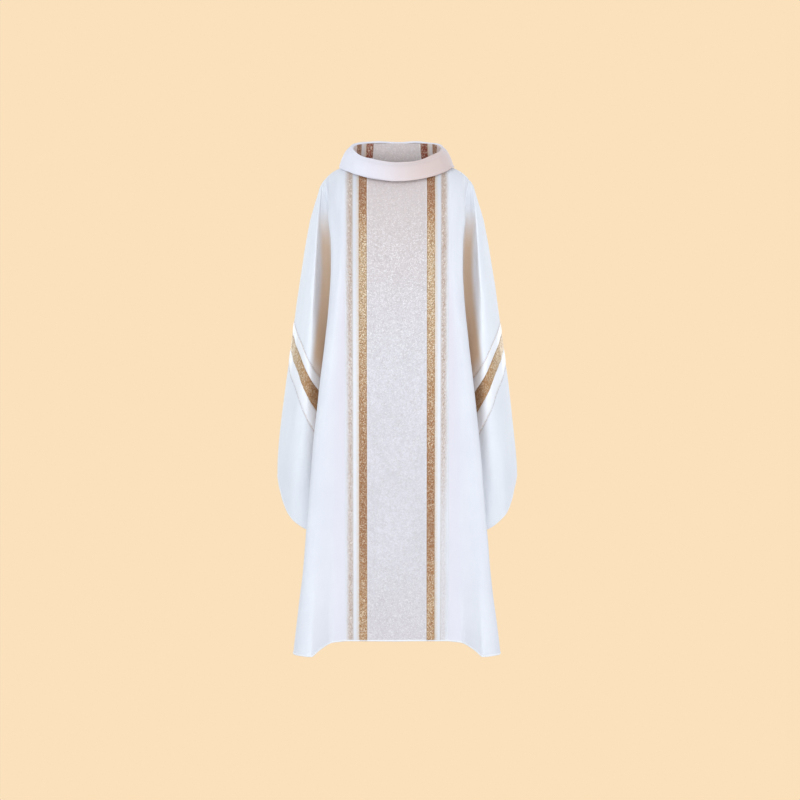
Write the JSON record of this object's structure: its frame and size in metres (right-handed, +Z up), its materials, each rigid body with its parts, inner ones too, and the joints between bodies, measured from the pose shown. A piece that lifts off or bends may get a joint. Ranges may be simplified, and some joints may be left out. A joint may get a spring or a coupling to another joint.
{
  "type": "chasuble",
  "caption": "Full white church vestment with a rolled collar, gold and ivory bands down front and back and across the sleeves, hanging from the shoulders.",
  "frame": {"origin": "the point on the floor plane under the middle of the garment, level with the lowest points of its hem", "axes": "+Z up, -Y the front of the garment, +X the viewer's right, which is the wearer's left"},
  "size_m": [0.6358, 0.4089, 1.3312],
  "materials": {
    "white_cloth": "matte woven white with a cool sheen",
    "column_cloth": "satin brocade, slightly warmer than the side cloth",
    "gold_band": "ribbed gold metallic thread",
    "ivory_band": "smooth white satin",
    "beige_band": "white cloth flecked with beige metallic thread",
    "collar_cloth": "matte woven white",
    "facing_cloth": "plain lining cloth",
    "label_tape": "blank woven tape"
  },
  "bodies": {
    "body": {"front_column_panel": "column_cloth", "front_gold_band_left": "gold_band", "front_ivory_band_left": "ivory_band", "front_beige_band_left": "beige_band", "front_side_panel_left": "white_cloth", "front_gold_band_right": "gold_band", "front_ivory_band_right": "ivory_band", "front_beige_band_right": "beige_band", "front_side_panel_right": "white_cloth", "front_hem_facing": "facing_cloth", "front_neck_facing": "facing_cloth", "back_column_panel": "column_cloth", "back_gold_band_left": "gold_band", "back_ivory_band_left": "ivory_band", "back_beige_band_left": "beige_band", "back_side_panel_left": "white_cloth", "back_gold_band_right": "gold_band", "back_ivory_band_right": "ivory_band", "back_beige_band_right": "beige_band", "back_side_panel_right": "white_cloth", "back_hem_facing": "facing_cloth", "back_neck_facing": "facing_cloth", "collar_outer": "collar_cloth", "collar_lining_back": "column_cloth", "collar_lining_gold_left": "gold_band", "collar_lining_ivory_left": "ivory_band", "collar_lining_beige_left": "beige_band", "collar_lining_gold_right": "gold_band", "collar_lining_ivory_right": "ivory_band", "collar_lining_beige_right": "beige_band", "collar_lining_front": "collar_cloth", "shoulder_stay_left": "facing_cloth", "shoulder_stay_right": "facing_cloth", "size_label": "label_tape"},
    "left_sleeve": {"left_sleeve_top_front": "white_cloth", "left_sleeve_ivory_band_upper_front": "ivory_band", "left_sleeve_gold_band_front": "gold_band", "left_sleeve_ivory_band_lower_front": "ivory_band", "left_sleeve_cuff_front": "white_cloth", "left_sleeve_top_back": "white_cloth", "left_sleeve_ivory_band_upper_back": "ivory_band", "left_sleeve_gold_band_back": "gold_band", "left_sleeve_ivory_band_lower_back": "ivory_band", "left_sleeve_cuff_back": "white_cloth"},
    "right_sleeve": {"right_sleeve_top_front": "white_cloth", "right_sleeve_ivory_band_upper_front": "ivory_band", "right_sleeve_gold_band_front": "gold_band", "right_sleeve_ivory_band_lower_front": "ivory_band", "right_sleeve_cuff_front": "white_cloth", "right_sleeve_top_back": "white_cloth", "right_sleeve_ivory_band_upper_back": "ivory_band", "right_sleeve_gold_band_back": "gold_band", "right_sleeve_ivory_band_lower_back": "ivory_band", "right_sleeve_cuff_back": "white_cloth"}
  },
  "joints": [
    {"name": "left_sleeve_lift", "type": "hinge", "parent": "body", "child": "left_sleeve", "pos_m": [-0.19, 0, 1.223], "axis": [0, 1, 0], "range_deg": [0, 60]},
    {"name": "right_sleeve_lift", "type": "hinge", "parent": "body", "child": "right_sleeve", "pos_m": [0.19, 0, 1.223], "axis": [0, -1, 0], "range_deg": [0, 60]}
  ]
}
